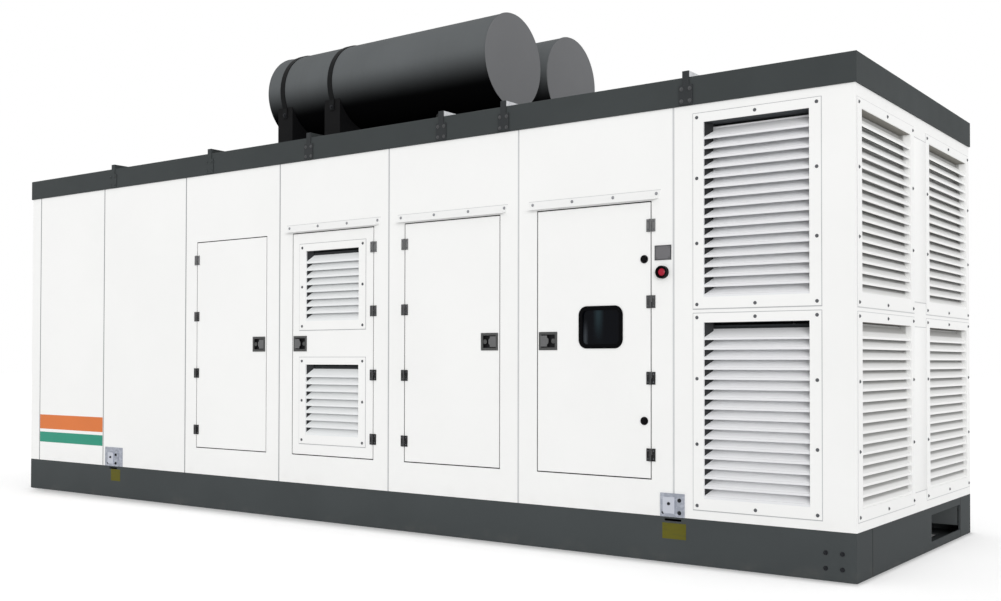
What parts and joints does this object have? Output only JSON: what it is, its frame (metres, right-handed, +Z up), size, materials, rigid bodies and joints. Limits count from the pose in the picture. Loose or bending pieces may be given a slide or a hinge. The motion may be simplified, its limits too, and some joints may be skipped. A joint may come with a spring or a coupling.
{
  "type": "containerised diesel generator",
  "caption": "Long white sound-proof generator enclosure on a dark steel base, with hinged doors, louvred air inlets and a pair of drum silencers strapped on its flat dark roof.",
  "frame": {"origin": "middle of the underside of the base frame, on the ground", "axes": "+X along the length to the louvred end, -Y out of the door side, +Z up"},
  "size_m": [8.42, 2.59, 4.0411],
  "materials": {
    "white_panel": "semi-gloss white powder coat",
    "louvre_white": "satin white powder coat",
    "base_grey": "satin dark grey paint",
    "roof_grey": "satin dark grey paint",
    "black_fitting": "satin black",
    "silencer_grey": "matt dark grey heat-proof paint",
    "silencer_cap_grey": "matt dark grey heat-proof paint",
    "galvanised": "galvanised",
    "window_glass": "dark tinted",
    "stop_red": "gloss red",
    "plate_grey": "satin mid grey",
    "seal_rubber": "matt black",
    "floor_steel": "grey painted floor plate"
  },
  "bodies": {
    "enclosure": {"base_side_beams": "base_grey", "base_end_beams": "base_grey", "base_cross_members": "base_grey", "floor_plate": "floor_steel", "front_plain_panels": "white_panel", "front_door_panel_1": "white_panel", "front_door_panel_2": "white_panel", "front_door_panel_3": "white_panel", "front_door_panel_4": "white_panel", "front_louvre_panel": "white_panel", "rear_plain_panels": "white_panel", "rear_door_panels": "white_panel", "rear_louvre_panel": "white_panel", "right_end_wall": "white_panel", "left_end_wall": "white_panel", "front_louvres": "louvre_white", "rear_louvres": "louvre_white", "right_end_louvres": "louvre_white", "left_end_louvres": "louvre_white", "roof_side_beams": "roof_grey", "roof_end_beams": "roof_grey", "roof_deck": "roof_grey", "roof_ribs": "galvanised", "rib_brackets": "roof_grey", "front_wall_hinges": "black_fitting", "rear_doors": "white_panel", "rear_door_hinges": "black_fitting", "rear_door_latches": "black_fitting", "front_rain_gutters": "white_panel", "rear_rain_gutters": "white_panel", "emergency_stop_collar": "black_fitting", "emergency_stop": "stop_red", "emergency_stop_plate": "plate_grey", "earth_plates": "galvanised", "front_silencer": "silencer_grey", "rear_silencer": "silencer_grey", "silencer_end_caps": "silencer_cap_grey", "silencer_saddles": "black_fitting", "silencer_straps": "black_fitting", "exhaust_inlets": "silencer_grey", "exhaust_outlets": "silencer_grey"},
    "door_1": {"door_1_leaf": "white_panel", "door_1_hinges": "black_fitting", "door_1_latch": "black_fitting"},
    "door_2": {"door_2_leaf": "white_panel", "door_2_hinges": "black_fitting", "door_2_latch": "black_fitting", "door_2_louvres": "louvre_white"},
    "door_3": {"door_3_leaf": "white_panel", "door_3_hinges": "black_fitting", "door_3_latch": "black_fitting"},
    "door_4": {"door_4_leaf": "white_panel", "door_4_hinges": "black_fitting", "door_4_latch": "black_fitting", "door_4_window_seal": "seal_rubber", "door_4_window_glass": "window_glass", "door_4_lock_knobs": "black_fitting"}
  },
  "joints": [
    {"name": "door_1_hinge", "type": "hinge", "parent": "enclosure", "child": "door_1", "pos_m": [-1.644, -1.26, 1.4175], "axis": [0, 0, -1], "range_deg": [0, 95]},
    {"name": "door_2_hinge", "type": "hinge", "parent": "enclosure", "child": "door_2", "pos_m": [0.444, -1.26, 1.4175], "axis": [0, 0, 1], "range_deg": [0, 95]},
    {"name": "door_3_hinge", "type": "hinge", "parent": "enclosure", "child": "door_3", "pos_m": [0.762, -1.26, 1.4175], "axis": [0, 0, -1], "range_deg": [0, 95]},
    {"name": "door_4_hinge", "type": "hinge", "parent": "enclosure", "child": "door_4", "pos_m": [2.862, -1.26, 1.4175], "axis": [0, 0, 1], "range_deg": [0, 95]}
  ]
}
